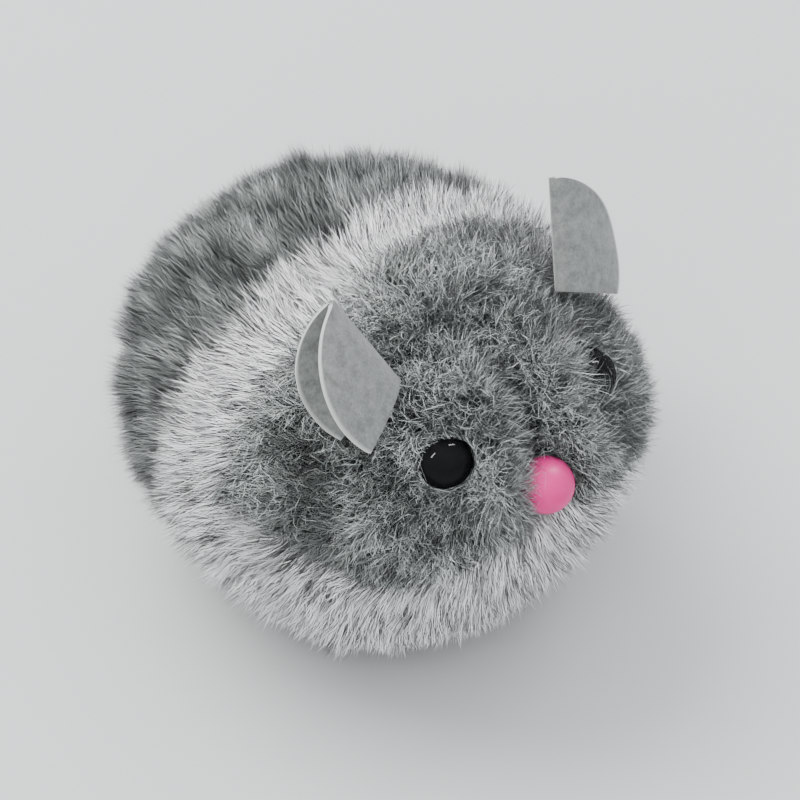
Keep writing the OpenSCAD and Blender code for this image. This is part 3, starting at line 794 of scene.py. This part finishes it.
def add_ear(node, side):
    """A felt disc folded in half: the back layer stands straight and the front one bows open."""
    at, fold, out, face = ear_axes(side)
    ahead = -side * face
    across, along_fold = 40, 34
    # t runs over the sheet from the back layer's rim, round the fold, to the front layer's rim
    t = np.linspace(-1, 1, across + 1)
    T, S = np.meshgrid(t, np.sin(np.linspace(0, np.pi / 2, along_fold + 1)))
    low = -(EAR_BASE / EAR_R + 0.72 * np.sin(EAR_SLANT) * np.abs(T)) / np.cos(EAR_SLANT)
    U = low + (1 - low) * S
    reach = np.sqrt(np.maximum(1 - U ** 2, 0.0016)) * EAR_R * T
    fold_r = 0.9
    bend = FELT_OPEN[side] * (0.5 + 0.5 * np.tanh(reach / fold_r * 0.8))
    v = np.abs(reach)
    bow = np.where(reach > 0, 1.2, 0.4) * np.sin(np.pi * np.clip(v / EAR_R, 0, 1)) * (1 - U ** 2)
    flat = np.cos(bend) * v + 0.4 * np.exp(-(v / 1.2) ** 2)
    spread = fold_r * (1 - np.exp(-v / 0.9)) * 0.7 + bow
    rise = np.sin(bend) * v + np.where(reach > 0, 1, -1) * spread
    wave = 0.25 * np.sin(U * 5 + T * 2 + side) * (v / EAR_R)
    mid = (at + EAR_R * U[..., None] * fold + flat[..., None] * out
           + (rise + wave)[..., None] * ahead)
    du = np.gradient(mid, axis=0)
    dv = np.gradient(mid, axis=1)
    n = unit(np.cross(du, dv))
    rows, cols = T.shape
    size = rows * cols
    verts = np.concatenate([(mid + n * FELT_T * k).reshape(-1, 3) for k in (-0.5, 0.5)])
    faces = []
    for r in range(rows - 1):
        for c in range(cols - 1):
            i = r * cols + c
            faces.append((i, i + 1, i + cols + 1, i + cols))
            faces.append((size + i, size + i + cols, size + i + cols + 1, size + i + 1))
    loop = ([c for c in range(cols)] + [r * cols + cols - 1 for r in range(1, rows)]
            + [(rows - 1) * cols + c for c in range(cols - 2, -1, -1)]
            + [r * cols for r in range(rows - 2, 0, -1)])
    for i, a in enumerate(loop):
        b = loop[(i + 1) % len(loop)]
        faces.append((b, a, a + size, b + size))
    mesh = bpy.data.meshes.new(node + "_felt")
    mesh.from_pydata(((verts + CENTRE) * MM).tolist(), [], faces)
    mesh.update()
    # mask of the painted highlight along the felt's cut rim
    rim = np.zeros(2 * size, np.float32)
    rim_highlight = np.clip((np.abs(T) - 0.955) / 0.045, 0, 1).ravel()
    rim[:size] = rim[size:] = rim_highlight
    layer = mesh.attributes.new("rim", "FLOAT", "POINT")
    layer.data.foreach_set("value", rim)
    obj = bpy.data.objects.new(node + "_felt", mesh)
    bpy.context.scene.collection.objects.link(obj)
    for f in mesh.polygons:
        f.use_smooth = True
    bevel = obj.modifiers.new("rim", "BEVEL")
    bevel.width = 0.2 * MM
    bevel.segments = 2
    bevel.limit_method = "ANGLE"
    mesh.materials.append(felt)
    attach(obj, "body")
    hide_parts(node)


# ---------------------------------------------------------------- finishes of the CAD nodes

def dress_cad_nodes():
    finishes = {
        "eye_bead": solid_material("eye_gloss", (0.003, 0.003, 0.0035), (0.005, 0.005, 0.0055), 300,
                                   0.06, coat=0.11, specular=0, grain=0.02),
        "nose_button": solid_material("nose_satin", (0.56, 0.025, 0.17), (0.61, 0.033, 0.20), 260,
                                      0.38, coat=0.05, specular=0.15, grain=0.05),
        "washer_plastic": solid_material("washer_white", (0.78, 0.78, 0.76), (0.84, 0.84, 0.82),
                                         500, 0.45),
        # dark tape; where its corners show below the fur, its darkness also stands in for painted
        # shadow under the body
        "binding_tape": weave_material("woven_tape", (0.035, 0.038, 0.037),
                                       (0.07, 0.075, 0.073), 2400),
        "filling": solid_material("loose_fibre", (0.80, 0.80, 0.78), (0.92, 0.92, 0.91), 900, 0.9,
                                  grain=0.8, grain_size=4e-4, stretch=(1, 1, 0.3)),
        "chassis_plastic": solid_material("chassis_grain", (0.018, 0.018, 0.02),
                                          (0.028, 0.028, 0.031), 900, 0.5, grain=0.5,
                                          grain_size=5e-5),
        "housing_plastic": solid_material("housing_shell", (0.56, 0.59, 0.62),
                                          (0.62, 0.65, 0.68), 400, 0.4),
        "steel": solid_material("plated_steel", (0.50, 0.51, 0.52), (0.60, 0.61, 0.63), 700, 0.28,
                                metallic=1.0, stretch=(0.15, 1, 1)),
        "spring_steel": solid_material("blued_steel", (0.12, 0.14, 0.20), (0.20, 0.22, 0.28), 700,
                                       0.3, metallic=1.0, stretch=(0.15, 1, 1)),
        "brass": solid_material("stamped_brass", (0.60, 0.42, 0.14), (0.72, 0.53, 0.20), 600, 0.3,
                                metallic=1.0),
        "zinc": solid_material("cast_zinc", (0.28, 0.29, 0.30), (0.38, 0.39, 0.40), 900, 0.5,
                               metallic=1.0, grain=0.6, grain_size=6e-5),
        "key_plastic": solid_material("key_red", (0.50, 0.012, 0.018), (0.58, 0.02, 0.026), 350,
                                      0.3, coat=0.3),
        "hub_plastic": solid_material("hub_red", (0.48, 0.012, 0.016), (0.56, 0.02, 0.024), 350,
                                      0.35, coat=0.2),
        "tyre_rubber": solid_material("tyre_rubber", (0.012, 0.012, 0.012), (0.022, 0.022, 0.022),
                                      800, 0.75, grain=0.5, grain_size=6e-5),
    }
    for part in frame["record"]["subparts"]:
        if part["material_slot"] in finishes:
            obj = frame["nodes"][part["node"]]
            obj.data.materials.clear()
            obj.data.materials.append(finishes[part["material_slot"]])


def weave_material(name, low, high, scale):
    """Crossing threads: two wave textures at right angles."""
    mat, tree, shader = nodes_of(name)
    coords = tree.nodes.new("ShaderNodeTexCoord").outputs["Object"]
    threads = []
    for way in ("X", "Y"):
        wave = tree.nodes.new("ShaderNodeTexWave")
        wave.bands_direction = way
        wave.inputs["Scale"].default_value = scale / 4
        wave.inputs["Distortion"].default_value = 0.6
        tree.links.new(coords, wave.inputs["Vector"])
        threads.append(wave)
    both = tree.nodes.new("ShaderNodeMath")
    both.operation = "MAXIMUM"
    tree.links.new(threads[0].outputs["Fac"], both.inputs[0])
    tree.links.new(threads[1].outputs["Fac"], both.inputs[1])
    tint = colour_ramp(tree, [(0.1, low), (0.9, high)])
    tree.links.new(both.outputs[0], tint.inputs["Fac"])
    tree.links.new(tint.outputs["Color"], shader.inputs["Base Color"])
    shader.inputs["Roughness"].default_value = 0.9
    bump_from(tree, shader, both.outputs[0], 0.5, 1e-4)
    return mat


add_backing()
add_fur(DENSITY)
add_ear("ear_right", -1)
add_ear("ear_left", 1)
dress_cad_nodes()
